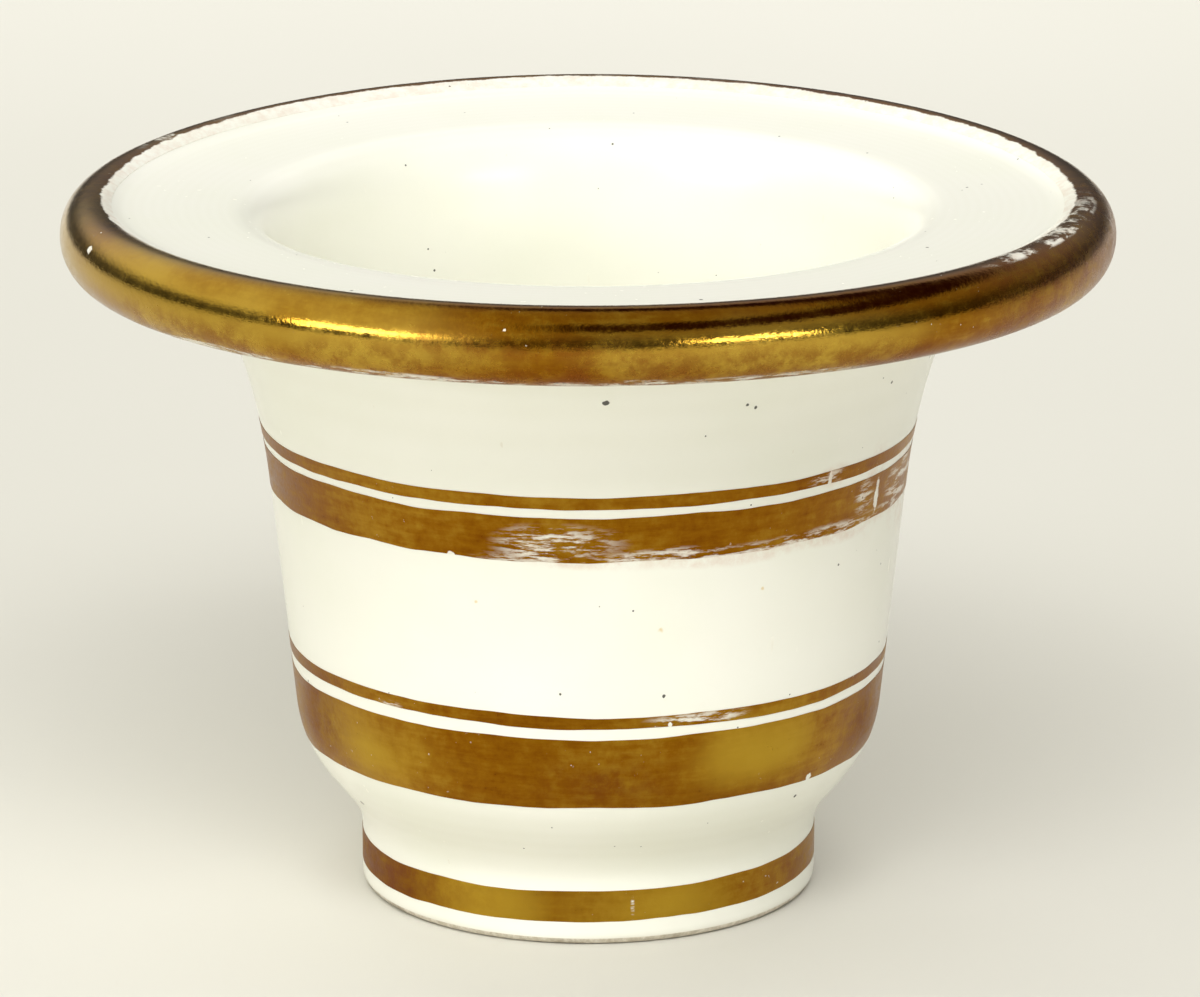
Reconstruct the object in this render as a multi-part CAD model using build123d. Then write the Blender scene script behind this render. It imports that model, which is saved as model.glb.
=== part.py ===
"""A handleless porcelain lather pot: a small tapered cup on a short foot, with a broad flat
flange that ends in a rolled rim. The pot is one fired clay body under glaze, decorated with
gilding on the rim, two broad bands with a fine line above each, and a band round the foot.

Millimetres. The pot stands on z = 0 and turns about the z axis.
"""
from build123d import *
from math import cos, hypot, radians, sin
import os

# Outside of the pot
overall_height = 78.3
rim_diameter = 115.0
bead_half_width = 3.3        # the rolled rim's section, an upright ellipse
bead_half_height = 4.05
foot_diameter = 50.5
foot_height = 6.6            # straight side of the foot, below the cove
foot_edge_radius = 1.1       # rounding where the foot meets the table
belly_radius = 32.4          # bottom of the tapered wall
belly_height = 21.2
neck_radius = 35.15          # top of the tapered wall
neck_height = 47.0
bowl_handle = 8.0            # how far the bowl carries the taper down before it turns in
cove_handle = 5.0            # how far the cove runs straight up from the foot
flare_handle = 10.0          # how far the neck carries the taper up before it flares
flange_handle = 5.5          # how far the flare runs level under the flange
flange_drop = 6.5            # from the top of the rim to the flange's underside
flange_underside_width = 11.5  # from the rim's edge in to where the underside levels out
bead_start_angle = -120.0    # where the underside meets the rolled rim

# Inside of the pot
wall_thickness = 3.4         # at the belly and the neck
floor_height = 8.4           # inside bottom of the pot
bead_slope_run = 4.2         # how far the rim's inside slope runs in to the flange
bead_slope_drop = 1.2        # from the top of the rim to the flange at the end of that slope
bead_slope_handle = 2.2      # roundness of the slope
flange_dish = 1.5            # from the top of the rim to the lip
lip_radius = 39.5            # where the flange turns down into the mouth
lip_depth = 8.6              # from the rim down to the straight inside wall
lip_handle = 4.2             # roundness of the lip
inner_bowl_handle = 8.0      # roundness of the inside corner at the bottom
inner_floor_radius = 12.0    # flat middle of the inside bottom

# Underside
foot_ring_width = 3.4        # width of the ring that the pot stands on
recess_depth = 3.0           # hollow under the base
recess_corner_radius = 1.2
bare_ring_height = 0.8       # unglazed clay at the bottom of the foot ring

# Glaze and gilding
glaze_thickness = 0.35
gilding_thickness = 0.12
rim_gilding_reach = 4.8       # width of the rim's gilding, seen from above
upper_line_bottom = 52.0
upper_line_width = 1.35
upper_band_bottom = 46.0
upper_band_width = 5.0
lower_line_bottom = 27.05
lower_line_width = 1.3
lower_band_bottom = 17.7
lower_band_width = 8.1
foot_band_bottom = 2.7
foot_band_width = 3.5

rim_radius = rim_diameter / 2
foot_radius = foot_diameter / 2
bead_center = (rim_radius - bead_half_width, overall_height - bead_half_height)
flange_root_radius = rim_radius - flange_underside_width
wall_lean = (neck_radius - belly_radius) / (neck_height - belly_height)
margin = 5.0                 # how far the cutting shapes reach past the pot


def outside_wall(z, grow=0):
    """Outside radius of the straight tapered wall at the height z, with a coat of grow on it."""
    return belly_radius + wall_lean * (z - belly_height) + grow * hypot(1, wall_lean)


def inside_wall(z, grow=0):
    """Inside radius of the straight tapered wall at the height z, with a coat of grow on it."""
    return outside_wall(z) - wall_thickness - grow * hypot(1, wall_lean)


def cove(grow):
    """End points and handles of the curve from the top of the foot out to the belly."""
    bowl_pull = belly_height - bowl_handle
    return ((foot_radius + grow, foot_height), (foot_radius + grow, foot_height + cove_handle),
            (outside_wall(bowl_pull, grow), bowl_pull), (outside_wall(belly_height, grow), belly_height))


def inside_corner(grow):
    """End points and handles of the curve from the inside wall down to the inside bottom."""
    corner = (inside_wall(belly_height, grow), belly_height)
    floor_edge = (inner_floor_radius, floor_height + grow)
    return (corner, (corner[0] - wall_lean * inner_bowl_handle, corner[1] - inner_bowl_handle),
            (inner_floor_radius + inner_bowl_handle, floor_edge[1]), floor_edge)


def outside_outline(grow):
    """From the foot's bottom edge up the wall, under the flange and over the rolled rim."""
    foot_top, belly = cove(grow)[0], cove(grow)[-1]
    neck = (outside_wall(neck_height, grow), neck_height)
    flare_pull = neck_height + flare_handle
    flange_root = (flange_root_radius, overall_height - flange_drop - grow)
    turn = radians(bead_start_angle)
    across, up = bead_half_width + grow, bead_half_height + grow
    bead_start = (bead_center[0] + across * cos(turn), bead_center[1] + up * sin(turn))
    reach = (bead_start[0] - flange_root_radius) / 3
    pull = reach / hypot(across * sin(turn), up * cos(turn))
    Line((foot_radius + grow, 0), foot_top)
    Bezier(*cove(grow))
    Line(belly, neck)
    Bezier(neck, (outside_wall(flare_pull, grow), flare_pull),
           (flange_root[0] - flange_handle, flange_root[1]), flange_root)
    Bezier(flange_root, (flange_root[0] + reach, flange_root[1]),
           (bead_start[0] + pull * across * sin(turn), bead_start[1] - pull * up * cos(turn)),
           bead_start)
    EllipticalCenterArc(bead_center, across, up, bead_start_angle, arc_size=90 - bead_start_angle)


def inside_outline(grow):
    """From the top of the rim across the flange, down the mouth and wall to the middle."""
    crest = (bead_center[0], overall_height + grow)
    flange = (crest[0] - bead_slope_run, crest[1] - bead_slope_drop)
    lip = (lip_radius, crest[1] - flange_dish)
    fall = (flange_dish - bead_slope_drop) / (flange[0] - lip_radius)
    mouth_height = overall_height - lip_depth
    mouth = (inside_wall(mouth_height, grow), mouth_height)
    corner, floor_edge = inside_corner(grow)[0], inside_corner(grow)[-1]
    Bezier(crest, (crest[0] - bead_slope_handle, crest[1]),
           (flange[0] + bead_slope_handle, flange[1] + fall * bead_slope_handle), flange)
    Line(flange, lip)
    Bezier(lip, (lip[0] - lip_handle, lip[1] - fall * lip_handle),
           (mouth[0] + wall_lean * lip_handle, mouth[1] + lip_handle), mouth)
    Line(mouth, corner)
    Bezier(*inside_corner(grow))
    Line(floor_edge, (0, floor_edge[1]))


def underside_outline(grow):
    """From the middle of the hollow under the base to the foot ring's outer edge."""
    inner = foot_radius - foot_ring_width - grow
    ceiling = recess_depth - grow
    Polyline((0, floor_height + grow), (0, ceiling), (inner, ceiling), (inner, 0), (foot_radius + grow, 0))


def corners_at(sketch, radius, height):
    """The outline's corner at a radius and a height."""
    return [v for v in sketch.vertices() if abs(v.X - radius) < 0.01 and abs(v.Z - height) < 0.01]


def pot_section(grow=0):
    """Half of the glazed pot cut through its axis, with a coat of grow all over it."""
    with BuildSketch(Plane.XZ) as half:
        with BuildLine():
            outside_outline(grow)
            inside_outline(grow)
            underside_outline(grow)
        make_face()
    section = half.sketch
    inner = foot_radius - foot_ring_width - grow
    edge_radius = min(foot_edge_radius, 0.45 * (foot_ring_width + 2 * grow))
    section = fillet(corners_at(section, foot_radius + grow, 0), edge_radius)
    section = fillet(corners_at(section, inner, 0), edge_radius)
    return fillet(corners_at(section, inner, recess_depth - grow), recess_corner_radius)


def strip(inner_radius, bottom, top):
    """A plain cutting rectangle from a radius outwards, between two heights."""
    width = rim_radius + margin - inner_radius
    middle = (inner_radius + width / 2, (bottom + top) / 2)
    return Plane.XZ * Pos(*middle) * Rectangle(width, top - bottom)


def turned(section):
    """The solid that a section makes when it turns once round the pot's axis."""
    return revolve(section, Axis.Z)


def outer_side():
    """Everything outside a path that follows the outside surface, a third of the wall deep."""
    depth = wall_thickness / 3
    crest, foot = bead_center[0], foot_radius - depth
    with BuildSketch(Plane.XZ) as region:
        with BuildLine():
            outside_outline(-depth)
            Polyline((crest, overall_height - depth), (crest, overall_height + margin),
                     (rim_radius + margin, overall_height + margin), (rim_radius + margin, -margin),
                     (foot, -margin), (foot, 0))
        make_face()
    return region.sketch


def layers(pot):
    """Sections of the clay and of the three glaze skins."""
    ring_middle = foot_radius - foot_ring_width / 2
    bare_ring = Plane.XZ * Pos(ring_middle, 0) * Rectangle(foot_ring_width, 2 * bare_ring_height)
    clay = pot_section(-glaze_thickness) + (pot & bare_ring)
    skin = pot - clay
    below_floor = strip(0, -margin, (floor_height + recess_depth) / 2)
    outside = skin & outer_side()
    inner_skins = skin - outer_side()
    return clay, outside, inner_skins - below_floor, inner_skins & below_floor


def gold_leaf(pot, area):
    """Gold leaf over the part of the pot's surface that lies inside an area of the section."""
    return turned((pot_section(gilding_thickness) & area) - pot)


def rim_gilding(pot):
    """Gold over the rolled rim."""
    inner_radius = rim_radius - rim_gilding_reach
    return gold_leaf(pot, strip(inner_radius, neck_height, overall_height + margin))


def band(pot, bottom, width):
    """A gilt band painted round the outside of the body."""
    return gold_leaf(pot, outer_side() & strip(0, bottom, bottom + width))


def write(name, solid):
    """Write one piece to its own STEP file."""
    export_step(solid, f"parts/{name}.step")


os.makedirs("parts", exist_ok=True)
pot = pot_section()
clay, outside_glaze, inside_glaze, underside_glaze = layers(pot)
write("clay_body", turned(clay))
write("outside_glaze", turned(outside_glaze))
write("inside_glaze", turned(inside_glaze))
write("underside_glaze", turned(underside_glaze))
write("rim_gilding", rim_gilding(pot))
write("upper_fine_line", band(pot, upper_line_bottom, upper_line_width))
write("upper_broad_band", band(pot, upper_band_bottom, upper_band_width))
write("lower_fine_line", band(pot, lower_line_bottom, lower_line_width))
write("lower_broad_band", band(pot, lower_band_bottom, lower_band_width))
write("foot_band", band(pot, foot_band_bottom, foot_band_width))
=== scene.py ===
# %% [markdown]
# # A gilded porcelain lather pot
# The pot is a small white cup on a short foot. A broad flat flange runs out from its mouth and
# ends in a rolled rim, and the rim, two bands, two fine lines and the foot are gilded. The packed
# model already fixes every size, so the lesson starts by loading it and reads sizes from it.

# %% Load the imported model as the frame
from math import cos, degrees, hypot, pi, radians, sin

import bpy
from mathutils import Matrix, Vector


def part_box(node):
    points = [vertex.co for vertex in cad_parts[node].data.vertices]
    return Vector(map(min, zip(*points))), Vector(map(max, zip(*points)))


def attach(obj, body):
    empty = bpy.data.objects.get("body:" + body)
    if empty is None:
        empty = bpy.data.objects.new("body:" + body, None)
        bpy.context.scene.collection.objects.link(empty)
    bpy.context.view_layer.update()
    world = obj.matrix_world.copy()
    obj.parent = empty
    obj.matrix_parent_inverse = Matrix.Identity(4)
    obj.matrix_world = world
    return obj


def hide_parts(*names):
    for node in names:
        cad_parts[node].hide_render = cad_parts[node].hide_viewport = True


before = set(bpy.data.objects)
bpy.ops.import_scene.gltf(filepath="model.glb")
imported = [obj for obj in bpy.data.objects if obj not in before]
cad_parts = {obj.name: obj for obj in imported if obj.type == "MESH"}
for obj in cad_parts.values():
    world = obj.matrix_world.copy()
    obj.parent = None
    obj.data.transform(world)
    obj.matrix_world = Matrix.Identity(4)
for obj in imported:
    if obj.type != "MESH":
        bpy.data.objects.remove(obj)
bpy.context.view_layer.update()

MM = 0.001

# %% [markdown]
# ## The pot's outline
# A thrown or jiggered pot is a shape of revolution, so one outline describes all of it. Heights
# and the rim's width are read from the frame, and the rest are the potter's own sizes: where the
# straight wall starts and ends, and how far each curve carries on before it turns. The curves are
# cubic Bezier arcs, because a potter's rib also leaves a wall straight and bends away slowly.

# %% Sizes of the outline
rim_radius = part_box("outside_glaze")[1].x
overall_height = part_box("inside_glaze")[1].z
bead_half_width = 3.3 * MM
bead_half_height = 4.05 * MM
bead_middle = (rim_radius - bead_half_width, overall_height - bead_half_height)
bead_start = radians(-120)
foot_radius = 25.25 * MM
foot_height = 6.6 * MM
foot_edge_radius = 1.1 * MM
foot_ring_width = 3.4 * MM
bare_ring_height = 0.8 * MM
recess_depth = 3.0 * MM
recess_corner_radius = 1.2 * MM
belly = (32.4 * MM, 21.2 * MM)
neck = (35.15 * MM, 47.0 * MM)
wall_lean = (neck[0] - belly[0]) / (neck[1] - belly[1])
wall_thickness = 3.4 * MM
glaze_thickness = 0.35 * MM
flange_root = (46.0 * MM, overall_height - 6.5 * MM)
flange_top = (bead_middle[0] - 4.2 * MM, overall_height - 1.2 * MM)
lip = (39.5 * MM, overall_height - 1.5 * MM)
mouth_height = overall_height - 8.6 * MM
floor_edge = (12.0 * MM, 8.4 * MM)
print("rim", round(2 * rim_radius / MM, 1), "mm across,", round(overall_height / MM, 1), "mm high")


# %% [markdown]
# ## Drawing the curves
# Three curves make the whole section: the outside, the inside and the underside. Each one takes
# the thickness of a coat, so that clay, glaze and gold are the same curve at different depths and
# always fit together. By hand, each would be a Bezier curve drawn in the front view.

# %% Curves of the outline, each with room for a coat on top
def bezier(a, b, c, d, count):
    """Points along a cubic Bezier arc, without its first one."""
    steps = [i / count for i in range(1, count + 1)]
    weights = [((1 - t) ** 3, 3 * t * (1 - t) ** 2, 3 * t * t * (1 - t), t ** 3) for t in steps]
    return [tuple(sum(w * p[k] for w, p in zip(row, (a, b, c, d))) for k in (0, 1)) for row in weights]


def arc(middle, across, up, start, end, count):
    """Points along an arc with two half-widths, from one angle to another, without its first one."""
    turns = [start + (end - start) * i / count for i in range(1, count + 1)]
    return [(middle[0] + across * cos(t), middle[1] + up * sin(t)) for t in turns]


def wall(height, coat=0.0):
    """Outside radius of the straight wall at a height."""
    return belly[0] + wall_lean * (height - belly[1]) + coat * hypot(1, wall_lean)


def inner_wall(height, coat=0.0):
    """Inside radius of the straight wall at a height."""
    return wall(height) - wall_thickness - coat * hypot(1, wall_lean)


def outside_curve(coat):
    """From the edge of the bare foot ring, up the body and over the rolled rim to its top."""
    edge = (foot_radius - foot_edge_radius, foot_edge_radius)
    dip = (foot_edge_radius - bare_ring_height) / foot_edge_radius
    start = (edge[0] + (foot_edge_radius + coat) * cos(dip), bare_ring_height)
    foot_top = (foot_radius + coat, foot_height)
    bowl_pull, cove_pull = belly[1] - 8.0 * MM, foot_height + 5.0 * MM
    flare_pull = neck[1] + 10.0 * MM
    root = (flange_root[0], flange_root[1] - coat)
    across, up = bead_half_width + coat, bead_half_height + coat
    bead_foot = (bead_middle[0] + across * cos(bead_start), bead_middle[1] + up * sin(bead_start))
    reach = (bead_foot[0] - root[0]) / 3
    pull = reach / hypot(across * sin(bead_start), up * cos(bead_start))
    rounding = foot_edge_radius + coat
    points = [start] + arc(edge, rounding, rounding, -dip, 0, 4)
    points += [(foot_radius + coat, edge[1] + (foot_height - edge[1]) * i / 8) for i in range(1, 9)]
    points += bezier(foot_top, (foot_top[0], cove_pull), (wall(bowl_pull, coat), bowl_pull),
                     (wall(belly[1], coat), belly[1]), 28)
    heights = [belly[1] + (neck[1] - belly[1]) * i / 26 for i in range(1, 27)]
    points += [(wall(h, coat), h) for h in heights]
    points += bezier((wall(neck[1], coat), neck[1]), (wall(flare_pull, coat), flare_pull),
                     (root[0] - 5.5 * MM, root[1]), root, 26)
    points += bezier(root, (root[0] + reach, root[1]),
                     (bead_foot[0] + pull * across * sin(bead_start),
                      bead_foot[1] - pull * up * cos(bead_start)), bead_foot, 6)
    return points + arc(bead_middle, across, up, bead_start, pi / 2, 36)


def inside_curve(coat):
    """From the rim's top across the flange, down the mouth and the wall to the floor's middle."""
    crest = (bead_middle[0], overall_height + coat)
    slope = 2.2 * MM
    flat = (flange_top[0], flange_top[1] + coat)
    edge = (lip[0], lip[1] + coat)
    fall = (flange_top[1] - lip[1]) / (flange_top[0] - lip[0])
    turn = 4.2 * MM
    mouth = (inner_wall(mouth_height, coat), mouth_height)
    corner = (inner_wall(belly[1], coat), belly[1])
    middle = (floor_edge[0], floor_edge[1] + coat)
    round_off = 8.0 * MM
    points = [crest] + bezier(crest, (crest[0] - slope, crest[1]),
                              (flat[0] + slope, flat[1] + fall * slope), flat, 14)
    steps = [i / 8 for i in range(1, 9)]
    points += [tuple(a + (b - a) * t for a, b in zip(flat, edge)) for t in steps]
    points += bezier(edge, (edge[0] - turn, edge[1] - fall * turn),
                     (mouth[0] + wall_lean * turn, mouth[1] + turn), mouth, 20)
    heights = [mouth[1] + (corner[1] - mouth[1]) * i / 24 for i in range(1, 25)]
    points += [(inner_wall(h, coat), h) for h in heights]
    points += bezier(corner, (corner[0] - wall_lean * round_off, corner[1] - round_off),
                     (middle[0] + round_off, middle[1]), middle, 16)
    return points + [(middle[0] * (1 - i / 6), middle[1]) for i in range(1, 7)]


def underside_curve(coat):
    """From the middle of the hollow under the base to the edge of the bare foot ring."""
    side = foot_radius - foot_ring_width - coat
    ceiling = recess_depth - coat
    corner = (side - recess_corner_radius, ceiling - recess_corner_radius)
    points = [(corner[0] * i / 10, ceiling) for i in range(11)]
    points += arc(corner, recess_corner_radius, recess_corner_radius, pi / 2, 0, 8)
    edge = (foot_radius - foot_ring_width + foot_edge_radius, foot_edge_radius)
    rounding = foot_edge_radius + coat
    dip = (foot_edge_radius - bare_ring_height) / foot_edge_radius
    points += [(side, edge[1])] + arc(edge, rounding, rounding, pi, pi + dip, 3)[:-1]
    return points + [(edge[0] - rounding * cos(dip), bare_ring_height)]


print("outline points:", len(outside_curve(0)), len(inside_curve(0)), len(underside_curve(0)))

# %% [markdown]
# ## Turning an outline into a piece
# By hand, this is the Spin tool: draw half of the section in edit mode by extruding one point
# after another, then spin it once round the z axis and merge the seam. The normals are worked out
# again after the merge, while the section is still the whole piece, so that they point outwards.

# %% A lathe made of edit-mode operators
TURN_STEPS = 288


def start_drawing(first):
    """One lone vertex in edit mode, at a radius and a height."""
    bpy.ops.object.select_all(action="DESELECT")
    bpy.ops.mesh.primitive_plane_add(size=MM, location=(first[0], 0, first[1]))
    bpy.ops.object.transform_apply(location=True, rotation=True, scale=True)
    bpy.ops.object.mode_set(mode="EDIT")
    bpy.ops.mesh.select_all(action="SELECT")
    bpy.ops.mesh.merge(type="CENTER")
    return bpy.context.object


def lathe(name, outline, closed=True, steps=TURN_STEPS):
    """A piece whose section is the outline, turned once round the z axis."""
    piece = start_drawing(outline[0])
    for here, there in zip(outline, outline[1:]):
        step = (there[0] - here[0], 0, there[1] - here[1])
        bpy.ops.mesh.extrude_region_move(TRANSFORM_OT_translate={"value": step})
    bpy.ops.mesh.select_all(action="SELECT")
    if closed:
        bpy.ops.mesh.edge_face_add()
        bpy.ops.mesh.delete(type="ONLY_FACE")
        bpy.ops.mesh.select_all(action="SELECT")
    bpy.ops.mesh.spin(steps=steps, angle=2 * pi, center=(0, 0, 0), axis=(0, 0, 1))
    bpy.ops.mesh.select_all(action="SELECT")
    bpy.ops.mesh.remove_doubles(threshold=0.002 * MM)
    bpy.ops.mesh.normals_make_consistent(inside=False)
    bpy.ops.mesh.select_all(action="DESELECT")
    bpy.ops.object.mode_set(mode="OBJECT")
    piece.name = name
    piece.data.name = name
    return piece


def finish_piece(piece, node):
    """Smooth shading, and the piece's place in the frame."""
    bpy.ops.object.select_all(action="DESELECT")
    piece.select_set(True)
    bpy.context.view_layer.objects.active = piece
    bpy.ops.object.shade_smooth_by_angle(angle=radians(40))
    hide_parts(node)
    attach(piece, "root")
    print(piece.name, len(piece.data.vertices), "points")


# %% [markdown]
# ## The kiln's warp
# Thin flanges sag and lift a little in the kiln. The far side of this rim stands almost two
# millimetres higher than the near side. Each piece gets the same lift from a vertex group and a
# Displace modifier, so pieces that touch before the lift still touch after it.

# %% Lift the far side of the rim
RIM_LIFT = 1.9 * MM


def activate(piece):
    """Make a piece the only selected and the active one."""
    bpy.ops.object.select_all(action="DESELECT")
    piece.select_set(True)
    bpy.context.view_layer.objects.active = piece


def smooth_step(value, low, high):
    """0 below low, 1 above high, and a soft curve between."""
    t = min(max((value - low) / (high - low), 0.0), 1.0)
    return t * t * (3 - 2 * t)


def weigh(piece, name, rule):
    """A vertex group whose weights come from a rule of the vertex's position."""
    group = piece.vertex_groups.new(name=name)
    for vertex in piece.data.vertices:
        group.add([vertex.index], rule(vertex.co), "REPLACE")
    return group


def apply_modifier(piece, modifier):
    """Apply one modifier to a piece."""
    activate(piece)
    bpy.ops.object.modifier_apply(modifier=modifier.name)


def warp(piece):
    """Lift the far side of the rim, and leave the cup and the near side alone."""
    def share(point):
        back = max(point.y, 0.0) / rim_radius
        return min(back * back, 1.0) * smooth_step(point.z, 59 * MM, 71.5 * MM)
    weigh(piece, "rim_lift", share)
    lift = piece.modifiers.new("rim_lift", "DISPLACE")
    lift.direction = "Z"
    lift.mid_level = 0.0
    lift.strength = RIM_LIFT
    lift.vertex_group = "rim_lift"
    apply_modifier(piece, lift)
    piece.vertex_groups.clear()


# %% [markdown]
# ## The clay
# The body is one piece of fired porcelain clay. Nearly all of it is under glaze: only the ring
# that the pot stands on stays bare, so that it doesn't stick to the kiln shelf.

# %% Clay body
def foot_ring_curve():
    """The bare standing ring, from its inner side to its outer side."""
    edge = foot_edge_radius
    inner, outer = foot_radius - foot_ring_width, foot_radius
    dip = (edge - bare_ring_height) / edge
    inner_turn = arc((inner + edge, edge), edge, edge, pi + dip, 3 * pi / 2, 5)
    outer_turn = arc((outer - edge, edge), edge, edge, -pi / 2, -dip, 5)
    start = (inner + edge - edge * cos(dip), bare_ring_height)
    return [start] + inner_turn + [(outer - edge, 0)] + outer_turn


clay_outline = underside_curve(-glaze_thickness) + foot_ring_curve()
clay_outline += outside_curve(-glaze_thickness) + inside_curve(-glaze_thickness)[1:]
clay_body = lathe("clay", clay_outline, closed=False)
warp(clay_body)
finish_piece(clay_body, "clay_body")

# %% [markdown]
# ## The glaze
# Porcelain is dipped in liquid glaze and fired again, which leaves a skin of glass a third of a
# millimetre thick. Each skin's section is its outer curve, and the same curve one skin deeper
# drawn backwards. The outside skin is a closed loop. The other two start and end on the axis,
# where the spin closes them into a point.

# %% Outside, inside and underside glaze
def glaze_skin(name, outline, node, closed):
    """One skin of glaze from its outline."""
    skin = lathe(name, outline, closed=closed)
    warp(skin)
    finish_piece(skin, node)
    return skin


depth = -glaze_thickness
outside_glaze = glaze_skin("glaze_outside", outside_curve(0) + outside_curve(depth)[::-1],
                           "outside_glaze", True)
inside_glaze = glaze_skin("glaze_inside", inside_curve(0)[::-1] + inside_curve(depth),
                          "inside_glaze", False)
underside_glaze = glaze_skin("glaze_underside", underside_curve(0) + underside_curve(depth)[::-1],
                             "underside_glaze", False)

# %% [markdown]
# ## The gilt bands
# A decorator lays each band with a brush while the pot turns on a banding wheel. The hand never
# holds quite still, so the edges wave a little and the bands lean. Each band starts as an open
# ribbon round the body. Two Displace modifiers move its edges up and down with soft noise, a small
# turn leans it, Shrinkwrap lays it back on the glaze, and Solidify gives it thickness.

# %% A ribbon painted round the body
body_curve = outside_curve(0)
body_curve = [point for point in body_curve if point[1] < 60 * MM]


def radius_at(height):
    """Radius of the glazed body at a height."""
    for low, high in zip(body_curve, body_curve[1:]):
        if low[1] <= height <= high[1] and high[1] > low[1]:
            return low[0] + (high[0] - low[0]) * (height - low[1]) / (high[1] - low[1])
    return body_curve[-1][0]


def soft_noise(name, grain):
    """A cloudy texture with grains of one size."""
    texture = bpy.data.textures.new(name, "CLOUDS")
    texture.noise_scale = grain
    texture.noise_depth = 2
    return texture


def wave_edge(piece, edge, grain, amount):
    """Push one edge of a ribbon up and down, and its neighbours less."""
    wave = piece.modifiers.new(edge, "DISPLACE")
    wave.texture = soft_noise(piece.name + "_" + edge, grain)
    wave.texture_coords = "LOCAL"
    wave.direction = "Z"
    wave.mid_level = 0.5
    wave.strength = amount
    wave.vertex_group = edge
    apply_modifier(piece, wave)


def gilt_band(name, node, bottom, width, lean, wobble):
    """A hand-painted band; lean is in degrees, wobble is how far its edges wave."""
    rows = max(6, round(width / (0.45 * MM)))
    heights = [bottom + width * i / rows for i in range(rows + 1)]
    ribbon = lathe(name, [(radius_at(h) + 0.05 * MM, h) for h in heights], closed=False)
    face = ribbon.data.polygons[0]
    if face.normal.x * face.center.x + face.normal.y * face.center.y < 0:
        activate(ribbon)
        bpy.ops.object.mode_set(mode="EDIT")
        bpy.ops.mesh.select_all(action="SELECT")
        bpy.ops.mesh.flip_normals()
        bpy.ops.object.mode_set(mode="OBJECT")
    middle = bottom + width / 2
    weigh(ribbon, "upper_edge", lambda point: max(0.0, (point.z - middle) / (width / 2)))
    weigh(ribbon, "lower_edge", lambda point: max(0.0, (middle - point.z) / (width / 2)))
    wave_edge(ribbon, "upper_edge", 11 * MM, wobble)
    wave_edge(ribbon, "lower_edge", 8 * MM, wobble)
    activate(ribbon)
    bpy.ops.object.mode_set(mode="EDIT")
    bpy.ops.mesh.select_all(action="SELECT")
    bpy.ops.transform.rotate(value=radians(lean), orient_axis="Y", orient_type="GLOBAL",
                             center_override=(0, 0, middle))
    bpy.ops.object.mode_set(mode="OBJECT")
    hug = ribbon.modifiers.new("hug", "SHRINKWRAP")
    hug.target = outside_glaze
    hug.wrap_method = "NEAREST_SURFACEPOINT"
    hug.wrap_mode = "OUTSIDE_SURFACE"
    hug.offset = 0.05 * MM
    apply_modifier(ribbon, hug)
    leaf = ribbon.modifiers.new("leaf", "SOLIDIFY")
    leaf.thickness = 0.07 * MM
    leaf.offset = -1
    apply_modifier(ribbon, leaf)
    ribbon.vertex_groups.clear()
    finish_piece(ribbon, node)
    return ribbon


upper_line = gilt_band("gilt_upper_line", "upper_fine_line", 52.0 * MM, 1.35 * MM, -0.1, 0.5 * MM)
upper_band = gilt_band("gilt_upper_band", "upper_broad_band", 46.0 * MM, 5.0 * MM, -0.1, 0.6 * MM)
lower_line = gilt_band("gilt_lower_line", "lower_fine_line", 27.05 * MM, 1.3 * MM, -0.75, 0.5 * MM)
lower_band = gilt_band("gilt_lower_band", "lower_broad_band", 17.7 * MM, 8.1 * MM, -0.2, 0.6 * MM)
foot_band = gilt_band("gilt_foot_band", "foot_band", 2.7 * MM, 3.5 * MM, 0.5, 0.5 * MM)

# %% [markdown]
# ## The gilded rim
# The rolled rim is gilded from its inside slope, over the top, to the underside of the flange. The
# leaf is laid a little wider than the gold still shows, and the material wears its inner edge away.

# %% Rim gilding
def rim_strip(coat):
    """The rim's outline from the inside slope over the top to under the flange."""
    inner_edge = rim_radius - 5.7 * MM
    under_edge = rim_radius - 4.9 * MM
    slope = [point for point in inside_curve(coat)[:12] if point[0] > inner_edge][::-1]
    over = [point for point in outside_curve(coat) if point[1] > 60 * MM and point[0] > under_edge]
    return slope + over[::-1][1:]


rim_gold = lathe("gilt_rim", rim_strip(0.06 * MM) + rim_strip(-0.03 * MM)[::-1])
warp(rim_gold)
finish_piece(rim_gold, "rim_gilding")

# %% [markdown]
# ## Helpers for shader nodes
# Every material below is worked out from the point's own place on the pot, so nothing needs an
# image. By hand, these are nodes added and wired one at a time in the Shader Editor.

# %% Nodes, sums and groups
def add(tree, kind, links=None, **settings):
    """One node. Links maps its inputs to values or to other nodes' outputs."""
    item = tree.nodes.new(kind)
    item.location = (180 * (len(tree.nodes) % 12), -240 * (len(tree.nodes) // 12))
    for name, value in settings.items():
        setattr(item, name, value)
    for key, value in (links or {}).items():
        if isinstance(value, bpy.types.NodeSocket):
            tree.links.new(value, item.inputs[key])
        else:
            item.inputs[key].default_value = value
    return item


def calc(tree, operation, *values):
    """The result of one Math node."""
    return add(tree, "ShaderNodeMath", dict(enumerate(values)), operation=operation).outputs[0]


def fade(tree, value, low, high):
    """0 at low, 1 at high, soft between; low may be above high."""
    links = {"Value": value, "From Min": low, "From Max": high}
    return add(tree, "ShaderNodeMapRange", links, interpolation_type="SMOOTHSTEP").outputs["Result"]


def noise(tree, vector, scale, detail=3.0, roughness=0.5):
    """A noise value from 0 to 1; the scale is in grains per metre."""
    links = {"Vector": vector, "Scale": scale, "Detail": detail, "Roughness": roughness}
    return add(tree, "ShaderNodeTexNoise", links).outputs["Fac"]


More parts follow.
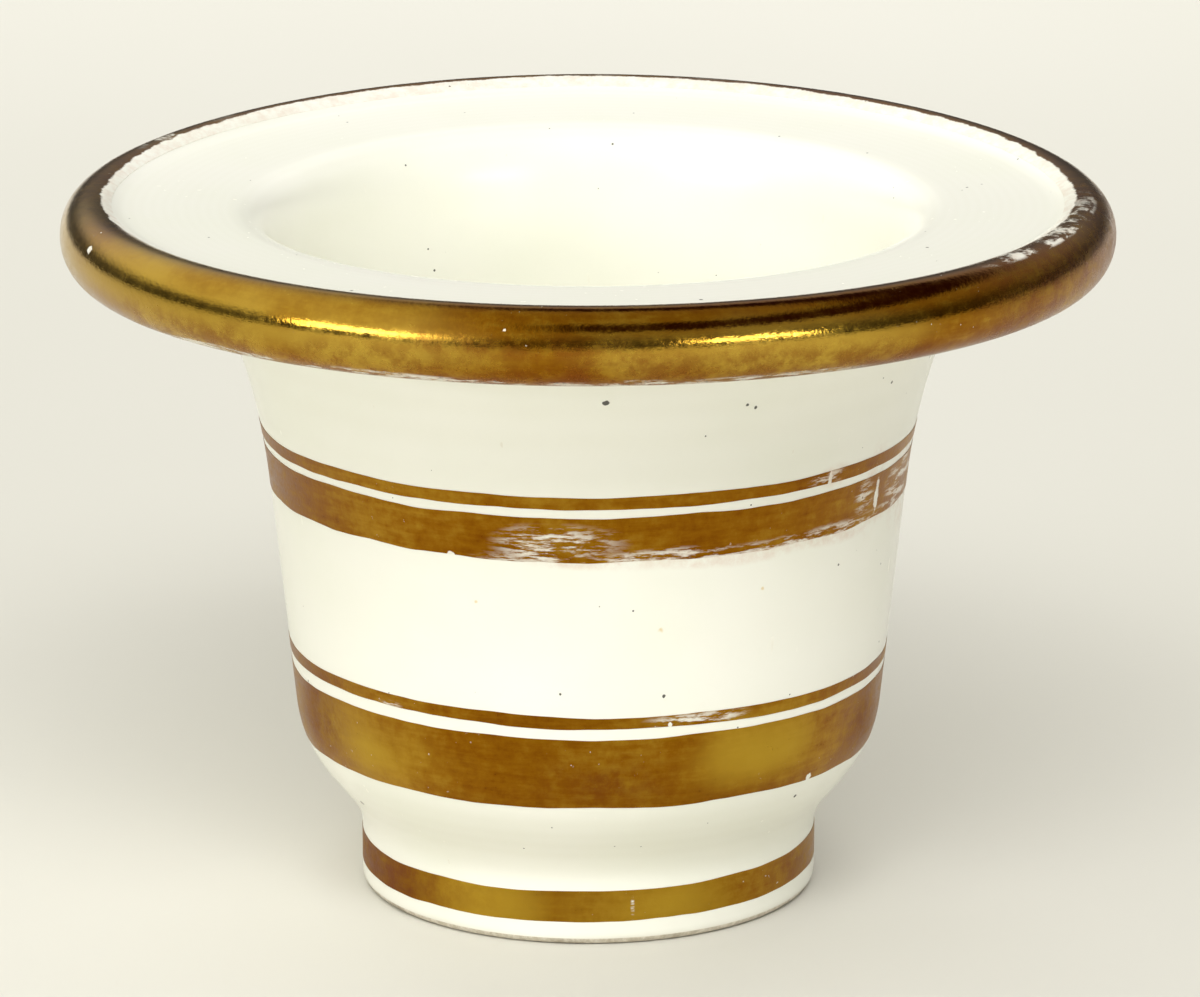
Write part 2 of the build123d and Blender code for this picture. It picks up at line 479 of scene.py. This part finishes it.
def blend_colours(tree, factor, first, second):
    """The first colour where the factor is 0, the second where it is 1."""
    mix = add(tree, "ShaderNodeMix", {"Factor": factor}, data_type="RGBA")
    for socket, colour in ((mix.inputs[6], first), (mix.inputs[7], second)):
        if isinstance(colour, bpy.types.NodeSocket):
            tree.links.new(colour, socket)
        else:
            socket.default_value = (*colour, 1)
    return mix.outputs[2]


def new_group(name, inputs, outputs):
    """An empty node group with its sockets, and its own input and output nodes."""
    group = bpy.data.node_groups.new(name, "ShaderNodeTree")
    for in_out, sockets in (("INPUT", inputs), ("OUTPUT", outputs)):
        for label, kind in sockets:
            group.interface.new_socket(label, in_out=in_out, socket_type="NodeSocket" + kind)
    return group, group.nodes.new("NodeGroupInput"), group.nodes.new("NodeGroupOutput")


def use(tree, group, links):
    """One use of a node group."""
    item = add(tree, "ShaderNodeGroup", node_tree=group)
    for key, value in links.items():
        if isinstance(value, bpy.types.NodeSocket):
            tree.links.new(value, item.inputs[key])
        else:
            item.inputs[key].default_value = value
    return item.outputs


# %% [markdown]
# ## Where a point is on the pot
# Marks on a turned pot are easiest to place by a turn round the axis and a height, as a decorator
# would. The turn is in degrees: 0 faces the front, and it grows to the right.

# %% Group: place on the pot
place_group, here, out = new_group("place_on_pot", [("Point", "Vector")],
                                   [("Turn", "Float"), ("Height", "Float"), ("Radius", "Float")])
axes = add(place_group, "ShaderNodeSeparateXYZ", {0: here.outputs["Point"]}).outputs
front = calc(place_group, "MULTIPLY", axes["Y"], -1.0)
turn = calc(place_group, "DEGREES", calc(place_group, "ARCTAN2", axes["X"], front))
across = add(place_group, "ShaderNodeCombineXYZ", {"X": axes["X"], "Y": axes["Y"]}).outputs[0]
length = add(place_group, "ShaderNodeVectorMath", {0: across}, operation="LENGTH").outputs["Value"]
place_group.links.new(turn, out.inputs["Turn"])
place_group.links.new(calc(place_group, "MULTIPLY", axes["Z"], 1000.0), out.inputs["Height"])
place_group.links.new(calc(place_group, "MULTIPLY", length, 1000.0), out.inputs["Radius"])

# %% [markdown]
# ## A ragged patch
# Wear, stains and chips all sit at one place on the pot and have an uneven edge. This group makes
# an oval mask at a turn and a height, and noise eats into its edge. One group does for every mark,
# because only the place, the size and the softness differ.

# %% Group: a ragged patch at one place
patch_group, here, out = new_group(
    "patch", [(label, "Float") for label in ("Turn", "Height", "Ragged", "At Turn", "At Height",
                                             "Half Turn", "Half Height", "Blur")], [("Mask", "Float")])
sideways = calc(patch_group, "DIVIDE", calc(patch_group, "SUBTRACT", here.outputs["Turn"],
                                            here.outputs["At Turn"]), here.outputs["Half Turn"])
upward = calc(patch_group, "DIVIDE", calc(patch_group, "SUBTRACT", here.outputs["Height"],
                                          here.outputs["At Height"]), here.outputs["Half Height"])
squares = calc(patch_group, "ADD", calc(patch_group, "MULTIPLY", sideways, sideways),
               calc(patch_group, "MULTIPLY", upward, upward))
ragged = calc(patch_group, "MULTIPLY", calc(patch_group, "SUBTRACT", here.outputs["Ragged"], 0.5), 3.2)
edge = calc(patch_group, "ADD", calc(patch_group, "SQRT", squares), ragged)
outer = calc(patch_group, "ADD", here.outputs["Blur"], 1.0)
inner = calc(patch_group, "SUBTRACT", 1.0, here.outputs["Blur"])
patch_group.links.new(fade(patch_group, edge, outer, inner), out.inputs["Mask"])
print("groups:", [group.name for group in bpy.data.node_groups])


def patches(tree, place, ragged, marks, blur=0.15):
    """The union of several ragged patches, each a turn, a height and two half-sizes."""
    mask = None
    for at_turn, at_height, half_turn, half_height in marks:
        spot = use(tree, patch_group, {
            "Turn": place["Turn"], "Height": place["Height"], "Ragged": ragged, "At Turn": at_turn,
            "At Height": at_height, "Half Turn": half_turn, "Half Height": half_height,
            "Blur": blur})["Mask"]
        mask = spot if mask is None else calc(tree, "MAXIMUM", mask, spot)
    return mask


# %% [markdown]
# ## The look of the porcelain
# Old glaze is a warm cream. It carries black pinholes where grit burned out in the kiln, a few
# rusty iron spots, hair-fine scratches and faint rings from the turning. Beside the gilt bands it
# has a pinkish tint, partly gold residue and partly painted shade. The glaze is also a little
# darker in cloudy patches at the very bottom of the foot.

# %% Group: porcelain
porcelain_group, here, out = new_group("porcelain", [("Point", "Vector")],
                                       [("Colour", "Color"), ("Roughness", "Float"), ("Height", "Float")])
tree, point = porcelain_group, here.outputs["Point"]
place = use(tree, place_group, {"Point": point})
cloud = noise(tree, point, 45.0, 3.0)
colour = blend_colours(tree, fade(tree, cloud, 0.35, 0.7), (0.93, 0.925, 0.83), (0.90, 0.905, 0.79))
fine = noise(tree, point, 900.0, 2.0)


def pinholes(tree, point, spacing, size, share):
    """Round dots, one in some of the cells of a 3-D grid of random cells."""
    cells = add(tree, "ShaderNodeTexVoronoi", {"Vector": point, "Scale": 1 / spacing})
    chance = add(tree, "ShaderNodeSeparateColor", {0: cells.outputs["Color"]}).outputs
    reach = calc(tree, "MULTIPLY", calc(tree, "ADD", chance["Green"], 0.25), size / spacing)
    dot = calc(tree, "LESS_THAN", cells.outputs["Distance"], reach)
    return calc(tree, "MULTIPLY", dot, calc(tree, "LESS_THAN", chance["Red"], share))


grit = calc(tree, "MAXIMUM", pinholes(tree, point, 5.0 * MM, 0.19 * MM, 0.55),
            pinholes(tree, point, 2.4 * MM, 0.12 * MM, 0.40))
specks = [(2.6, 64.5, 0.55, 0.32), (25.5, 63.2, 0.35, 0.22), (27.0, 62.8, 0.25, 0.18),
          (-61.0, 12.6, 0.6, 0.2), (14.0, 30.5, 0.25, 0.18), (-5.0, 31.0, 0.22, 0.16)]
grit = calc(tree, "MAXIMUM", grit, patches(tree, place, fine, specks))
iron_spots = [(13.0, 38.2, 0.5, 0.3), (32.5, 41.5, 0.35, 0.2), (-20.0, 41.0, 0.35, 0.18)]
rust = patches(tree, place, fine, iron_spots, 0.4)
stretched = add(tree, "ShaderNodeMapping", {"Vector": point, "Scale": (1.0, 1.0, 0.05)}).outputs[0]
scratch = fade(tree, noise(tree, stretched, 1500.0, 1.0), 0.74, 0.78)
scratch = calc(tree, "MULTIPLY", scratch, fade(tree, noise(tree, point, 90.0, 1.0), 0.55, 0.62))
rings = calc(tree, "SINE", calc(tree, "MULTIPLY", place["Radius"], 5.2))
rings = calc(tree, "MULTIPLY", calc(tree, "ADD", rings, 1.0), 0.5)
# Darker in cloudy patches in the lowest glaze, just above the bare ring.
foot_edge_darkening = calc(tree, "MULTIPLY", fade(tree, place["Height"], 1.6, 0.6), fade(tree, cloud, 0.2, 0.8))
colour = blend_colours(tree, calc(tree, "MULTIPLY", rings, 0.10), colour, (0.84, 0.83, 0.70))
colour = blend_colours(tree, calc(tree, "MULTIPLY", foot_edge_darkening, 0.3), colour, (0.42, 0.36, 0.24))
colour = blend_colours(tree, calc(tree, "MULTIPLY", scratch, 0.35), colour, (0.60, 0.55, 0.42))
colour = blend_colours(tree, calc(tree, "MULTIPLY", rust, 0.6), colour, (0.72, 0.52, 0.15))
# A pinkish tint beside the bands: partly gold residue where the leaf rubbed off, partly painted shade.
band_residue_and_shade_spots = [(36.0, 46.0, 38.0, 1.1), (76.0, 48.0, 9.0, 4.5), (60.0, 49.0, 3.0, 4.0), (-2.0, 45.9, 9.0, 0.8),
           (46.0, 52.6, 4.0, 1.2)]
band_residue_and_painted_shade = patches(tree, place, cloud, band_residue_and_shade_spots, 0.4)
band_residue_and_painted_shade = calc(tree, "MULTIPLY", band_residue_and_painted_shade, fade(tree, noise(tree, point, 500.0, 4.0, 0.7), 0.3, 0.7))
colour = blend_colours(tree, calc(tree, "MULTIPLY", band_residue_and_painted_shade, 0.5), colour, (0.74, 0.56, 0.44))
colour = blend_colours(tree, calc(tree, "MULTIPLY", grit, 0.92), colour, (0.035, 0.028, 0.02))
gloss = calc(tree, "ADD", calc(tree, "MULTIPLY", cloud, 0.10), calc(tree, "MULTIPLY", scratch, 0.25))
gloss = calc(tree, "ADD", gloss, calc(tree, "MULTIPLY", grit, 0.35))
relief = calc(tree, "SUBTRACT", calc(tree, "MULTIPLY", cloud, 0.5), calc(tree, "MULTIPLY", grit, 0.5))
tree.links.new(colour, out.inputs["Colour"])
tree.links.new(calc(tree, "ADD", gloss, 0.20), out.inputs["Roughness"])
tree.links.new(relief, out.inputs["Height"])

# %% [markdown]
# ## Gold leaf
# Brushed gold isn't one colour: it is thin in some strokes and thick in others. Noise stretched
# round the pot stands for the strokes, and a colour ramp turns it into brown, bronze and yellow.

# %% Group: gold leaf
gold_group, here, out = new_group("gold", [("Point", "Vector")],
                                  [("Colour", "Color"), ("Roughness", "Float"), ("Height", "Float")])
tree, point = gold_group, here.outputs["Point"]
brushed = add(tree, "ShaderNodeMapping", {"Vector": point, "Scale": (0.14, 0.14, 1.0)}).outputs[0]
strokes = noise(tree, brushed, 1500.0, 3.0, 0.6)
fine_mottle = noise(tree, point, 650.0, 5.0, 0.7)
mottle = calc(tree, "ADD", calc(tree, "MULTIPLY", strokes, 0.4), calc(tree, "MULTIPLY", fine_mottle, 0.6))
blotch = noise(tree, point, 70.0, 3.0)
grain = noise(tree, point, 2600.0, 2.0)
tone = calc(tree, "ADD", calc(tree, "MULTIPLY", mottle, 0.6), calc(tree, "MULTIPLY", blotch, 0.4))
ramp = add(tree, "ShaderNodeValToRGB", {"Fac": tone}).color_ramp
ramp.elements[0].position, ramp.elements[0].color = 0.32, (0.18, 0.045, 0.0015, 1)
ramp.elements[1].position, ramp.elements[1].color = 0.68, (0.47, 0.26, 0.022, 1)
middle_tone = ramp.elements.new(0.50)
middle_tone.color = (0.30, 0.12, 0.0045, 1)
ramp_out = tree.nodes[-1].outputs["Color"]
tree.links.new(ramp_out, out.inputs["Colour"])
dull = calc(tree, "ADD", calc(tree, "MULTIPLY", calc(tree, "POWER", mottle, 2.0), 0.55),
            calc(tree, "MULTIPLY", grain, 0.12))
tree.links.new(dull, out.inputs["Roughness"])
tree.links.new(calc(tree, "ADD", calc(tree, "MULTIPLY", grain, 0.4), mottle), out.inputs["Height"])

# %% [markdown]
# ## Materials
# Each material holds its own shaders. The groups above only pass in colours, masks and heights.

# %% Fired clay and glaze
def new_material(name):
    """An empty material with an output node and the point it is asked about."""
    material = bpy.data.materials.new(name)
    material.use_nodes = True
    tree = material.node_tree
    tree.nodes.clear()
    point = add(tree, "ShaderNodeTexCoord").outputs["Object"]
    return material, tree, point, add(tree, "ShaderNodeOutputMaterial")


def surface(tree, look, metallic, depth, extra_roughness=None):
    """A shader with a look from a group, and a bump of a real depth."""
    bump = add(tree, "ShaderNodeBump", {"Height": look["Height"], "Strength": 0.5, "Distance": depth})
    links = {"Base Color": look["Colour"], "Metallic": metallic, "IOR": 1.5, "Normal": bump.outputs[0]}
    links["Roughness"] = extra_roughness or look["Roughness"]
    return add(tree, "ShaderNodeBsdfPrincipled", links)


glaze_material, tree, point, output = new_material("glazed_porcelain")
glaze = surface(tree, use(tree, porcelain_group, {"Point": point}), 0.0, 0.05 * MM)
tree.links.new(glaze.outputs[0], output.inputs["Surface"])

clay_material, tree, point, output = new_material("bare_clay")
sand = noise(tree, point, 1400.0, 4.0, 0.7)
bare = blend_colours(tree, fade(tree, sand, 0.35, 0.65), (0.55, 0.49, 0.38), (0.74, 0.69, 0.58))
dirt = fade(tree, noise(tree, point, 240.0, 3.0), 0.52, 0.68)
bare = blend_colours(tree, calc(tree, "MULTIPLY", dirt, 0.5), bare, (0.30, 0.24, 0.16))
bump = add(tree, "ShaderNodeBump", {"Height": sand, "Strength": 0.6, "Distance": 0.1 * MM})
clay = add(tree, "ShaderNodeBsdfPrincipled", {"Base Color": bare, "Normal": bump.outputs[0],
                                              "Roughness": 0.85})
tree.links.new(clay.outputs[0], output.inputs["Surface"])

# %% [markdown]
# ## Worn gold
# Gilding rubs off where hands and cloths reach it: first the bright top of the gold, then all of
# it, down to white glaze with a pinkish stain. Each kind of gilding has a list of its own marks,
# as turn, height, half turn and half height. Two of the lists are painted light: yellower patches
# are painted highlights, and browner patches are painted shade and dark reflections.

# %% A gilding material with its own marks
def gilding(name, losses, rubs, painted_shade_marks, painted_highlight_marks, painted_highlight_colour, shine, inner_edge=None):
    """Gold over porcelain: losses are bare, rubs streaky, browner patches are painted shade and dark
    reflections, and yellower patches are painted highlights.
    """
    material, tree, point, output = new_material(name)
    place = use(tree, place_group, {"Point": point})
    ragged = noise(tree, point, 380.0, 5.0, 0.7)
    broad = noise(tree, point, 60.0, 2.0)
    lost = patches(tree, place, ragged, losses)
    brushed = add(tree, "ShaderNodeMapping", {"Vector": point, "Scale": (0.16, 0.16, 1.0)}).outputs[0]
    streak = fade(tree, noise(tree, brushed, 1700.0, 4.0, 0.7), 0.46, 0.60)
    rubbed = calc(tree, "MULTIPLY", patches(tree, place, broad, rubs, 0.5), streak)
    flecks = fade(tree, noise(tree, point, 1500.0, 3.0, 0.6), 0.70, 0.76)
    flecks = calc(tree, "MULTIPLY", flecks, fade(tree, broad, 0.50, 0.62))
    lost = calc(tree, "MAXIMUM", lost, calc(tree, "MULTIPLY", calc(tree, "MAXIMUM", rubbed, flecks), 0.85))
    if inner_edge:
        bite = calc(tree, "MULTIPLY", calc(tree, "SUBTRACT", ragged, 0.5), 1.3)
        swing = calc(tree, "MULTIPLY", calc(tree, "SUBTRACT", broad, 0.5), 1.0)
        behind = calc(tree, "COSINE", calc(tree, "RADIANS", place["Turn"]))
        swing = calc(tree, "ADD", swing, calc(tree, "MULTIPLY", behind, 0.6))
        edge = calc(tree, "ADD", place["Radius"], calc(tree, "ADD", bite, swing))
        upper = fade(tree, place["Height"], inner_edge[1] - 0.4, inner_edge[1])
        inside = calc(tree, "MULTIPLY", fade(tree, edge, inner_edge[0] + 0.15, inner_edge[0] - 0.15), upper)
        lost = calc(tree, "MAXIMUM", lost, inside)
    # Browner patches of painted shade and dark reflections; they also make the gold duller.
    painted_shade_mask = patches(tree, place, broad, painted_shade_marks, 0.8)
    gold_look = use(tree, gold_group, {"Point": point})
    # Yellower patches of painted highlights, which turn the leaf's colour yellower.
    painted_highlight_mask = patches(tree, place, broad, painted_highlight_marks, 0.9)
    leaf_with_painted_highlight = blend_colours(tree, calc(tree, "MULTIPLY", painted_highlight_mask, 0.75), gold_look["Colour"],
                                painted_highlight_colour)
    # The painted shade and dark reflections darken the leaf to dark brown.
    soft_painted_shade_mask = calc(tree, "MULTIPLY", painted_shade_mask, fade(tree, ragged, 0.35, 0.65))
    leaf_with_painted_light = blend_colours(tree, calc(tree, "MULTIPLY", soft_painted_shade_mask, 0.6), leaf_with_painted_highlight,
                           (0.20, 0.045, 0.008))
    bump = add(tree, "ShaderNodeBump", {"Height": gold_look["Height"], "Strength": 0.6,
                                        "Distance": 0.05 * MM})
    roughness = calc(tree, "ADD", gold_look["Roughness"], shine)
    roughness = calc(tree, "ADD", roughness, calc(tree, "MULTIPLY", painted_shade_mask, 0.15))
    gold = add(tree, "ShaderNodeBsdfPrincipled", {"Base Color": leaf_with_painted_light, "Metallic": 1.0,
                                                  "Roughness": roughness, "Normal": bump.outputs[0]})
    bare_look = use(tree, porcelain_group, {"Point": point})
    residue = fade(tree, noise(tree, point, 700.0, 4.0, 0.7), 0.35, 0.70)
    bare_colour = blend_colours(tree, calc(tree, "MULTIPLY", residue, 0.45), bare_look["Colour"],
                                (0.74, 0.58, 0.46))
    bare = add(tree, "ShaderNodeBsdfPrincipled", {"Base Color": bare_colour, "IOR": 1.5,
                                                  "Roughness": bare_look["Roughness"]})
    mix = add(tree, "ShaderNodeMixShader", {0: lost, 1: gold.outputs[0], 2: bare.outputs[0]})
    tree.links.new(mix.outputs[0], output.inputs["Surface"])
    return material


band_material = gilding("band_leaf", losses=[
    (-24.5, 46.0, 0.7, 0.4), (61.5, 48.5, 0.8, 2.4), (45.8, 52.7, 0.6, 1.2), (49.0, 17.9, 0.8, 0.4),
    (15.3, 27.2, 0.5, 0.3)],
    rubs=[(-4.5, 48.0, 7.5, 1.9), (36.0, 46.1, 38.0, 0.9), (77.0, 48.0, 8.0, 3.0), (57.0, 49.0, 3.0, 2.0),
          (17.0, 27.6, 8.0, 0.7), (-40.0, 27.6, 3.0, 0.4), (45.0, 52.7, 4.0, 0.7), (11.0, 4.4, 0.5, 1.6),
          (150.0, 48.5, 20.0, 2.5), (-140.0, 22.0, 14.0, 2.0)],
    # Browner patches of painted shade at the bands' sides and of a painted dark reflection at the front.
    painted_shade_marks=[(-63.0, 22.0, 8.0, 4.5), (66.0, 22.0, 7.0, 4.5), (-62.0, 5.0, 24.0, 3.0), (62.0, 5.0, 18.0, 3.0),
            (4.0, 21.0, 10.0, 3.0)],
    # Yellower patches of painted highlights, where the two softboxes shine on the bands.
    painted_highlight_marks=[(-27.0, 4.4, 12.0, 4.0), (20.0, 4.4, 18.0, 4.0), (-46.0, 21.5, 14.0, 4.0),
            (36.0, 22.0, 12.0, 3.0)],
    painted_highlight_colour=(0.56, 0.36, 0.035), shine=0.16)
rim_material = gilding("rim_leaf", losses=[
    (-68.0, 76.6, 0.6, 0.4), (120.0, 74.0, 0.8, 0.5)],
    rubs=[(66.0, 78.3, 12.0, 0.2), (-30.0, 70.6, 40.0, 0.4), (150.0, 80.1, 20.0, 0.2),
          (-110.0, 79.0, 12.0, 0.3)],
    # Browner patches of painted dark reflections under the bead's front, at its front centre and at its
    # right end.
    painted_shade_marks=[(70.0, 74.0, 24.0, 4.0), (0.0, 71.2, 80.0, 2.4), (-8.0, 74.5, 9.0, 1.5)],
    # Yellower patches of painted highlights, at the rim's left end and either side of its front.
    painted_highlight_marks=[(-66.0, 74.5, 40.0, 3.5), (-28.0, 74.0, 18.0, 2.0), (24.0, 74.0, 16.0, 2.0)],
    painted_highlight_colour=(0.60, 0.40, 0.06), shine=-0.05, inner_edge=(rim_radius / MM - 4.5, 76.0))

# %% [markdown]
# ## Putting the materials on
# The clay shows only on the standing ring, the glaze covers the rest, and the two kinds of gilding
# differ in shine and wear. Each piece gets exactly one material.

# %% Give every piece its material
looks = {clay_body: clay_material, rim_gold: rim_material}
looks.update({skin: glaze_material for skin in (outside_glaze, inside_glaze, underside_glaze)})
looks.update({band: band_material for band in (upper_line, upper_band, lower_line, lower_band, foot_band)})
for piece, look in looks.items():
    piece.data.materials.clear()
    piece.data.materials.append(look)
    print(piece.name, "-", look.name)

# %% [markdown]
# ## The camera
# The pot is seen from a little above with a long lens, so its ellipses are nearly parallel. The
# camera's height and distance are given in rim radii.

# %% Camera
camera_data = bpy.data.cameras.new("camera")
camera = bpy.data.objects.new("camera", camera_data)
bpy.context.scene.collection.objects.link(camera)
bpy.context.scene.camera = camera
camera_data.sensor_width = 36.0
camera_data.lens = 195.0
camera_data.clip_start = 0.05
camera.location = (1.3 * MM, -12.05 * rim_radius, 4.052 * rim_radius)
camera.rotation_mode = "XYZ"
camera.rotation_euler = (radians(90 - 15.30), 0, 0)

# %% [markdown]
# ## Floor and light
# The pot stands on a pale sheet. A wide fill light from above the front brightens the cup's inside
# and leaves the neck in the flange's shade; it is kept out of mirror reflections. Two low, narrow
# softboxes give the rim its bright lines, another fill light keeps the sheet pale behind the pot,
# and a pale sky with a dim band over its right half gives the gold something dark to mirror.

# %% Floor
bpy.ops.object.select_all(action="DESELECT")
bpy.ops.mesh.primitive_plane_add(size=6.0, location=(0, 0, 0))
floor = bpy.context.object
floor.name = "floor"
floor_paint, tree, point, output = new_material("floor_paint")
cloudy = noise(tree, point, 3.0, 2.0)
paper = blend_colours(tree, cloudy, (0.66, 0.65, 0.58), (0.73, 0.72, 0.66))
sheet = add(tree, "ShaderNodeBsdfPrincipled", {"Base Color": paper, "Roughness": 0.9})
tree.links.new(sheet.outputs[0], output.inputs["Surface"])
floor.data.materials.append(floor_paint)

# %% [markdown]
# ## Lamps and sky
# Each lamp is a rectangle turned to face a point, as a softbox on a stand would be. The sky's
# colour depends only on direction, so what the gold mirrors can be set apart from how much light
# falls on the cup.

# %% Lights
def softbox(name, place, aim, width, height, power):
    """A rectangular area light at place, pointing at aim."""
    light = bpy.data.lights.new(name, "AREA")
    light.shape = "RECTANGLE"
    light.size, light.size_y = width, height
    light.energy = power
    lamp = bpy.data.objects.new(name, light)
    lamp.location = place
    lamp.rotation_mode = "QUATERNION"
    lamp.rotation_quaternion = (Vector(aim) - Vector(place)).to_track_quat("-Z", "Y")
    bpy.context.scene.collection.objects.link(lamp)
    return lamp


fill = softbox("fill", (0.05, -0.76, 0.88), (0, 0, 0.04), 0.8, 0.4, 8.5)
fill.visible_glossy = False
softbox("left", (-0.78, -0.70, 0.30), (0, 0, 0.05), 0.60, 0.16, 2.4)
softbox("right", (0.60, -0.88, 0.24), (0, 0, 0.05), 0.46, 0.10, 1.5)
backdrop = softbox("backdrop", (0, 1.0, 0.7), (0, 0.75, 0), 1.4, 0.5, 8.0)
backdrop.visible_glossy = False
world = bpy.data.worlds.new("studio")
bpy.context.scene.world = world
world.use_nodes = True
tree = world.node_tree
direction = add(tree, "ShaderNodeTexCoord").outputs["Generated"]
up = add(tree, "ShaderNodeSeparateXYZ", {0: direction}).outputs["Z"]
sky = blend_colours(tree, fade(tree, up, 0.12, 0.6), (0.26, 0.25, 0.22), (1.35, 1.34, 1.28))
band = calc(tree, "MULTIPLY", fade(tree, up, 0.58, 0.68), fade(tree, up, 0.93, 0.83))
right = add(tree, "ShaderNodeSeparateXYZ", {0: direction}).outputs["X"]
left_glow = calc(tree, "MULTIPLY", fade(tree, right, 0.1, -0.6), fade(tree, up, 0.1, 0.4))
sky = blend_colours(tree, left_glow, sky, (2.6, 2.55, 2.3))
band = calc(tree, "MULTIPLY", band, fade(tree, right, -0.28, 0.02))
sky = blend_colours(tree, band, sky, (0.14, 0.05, 0.05))
tree.links.new(sky, tree.nodes["Background"].inputs["Color"])
tree.nodes["Background"].inputs["Strength"].default_value = 0.38
bpy.context.scene.view_settings.view_transform = "Standard"
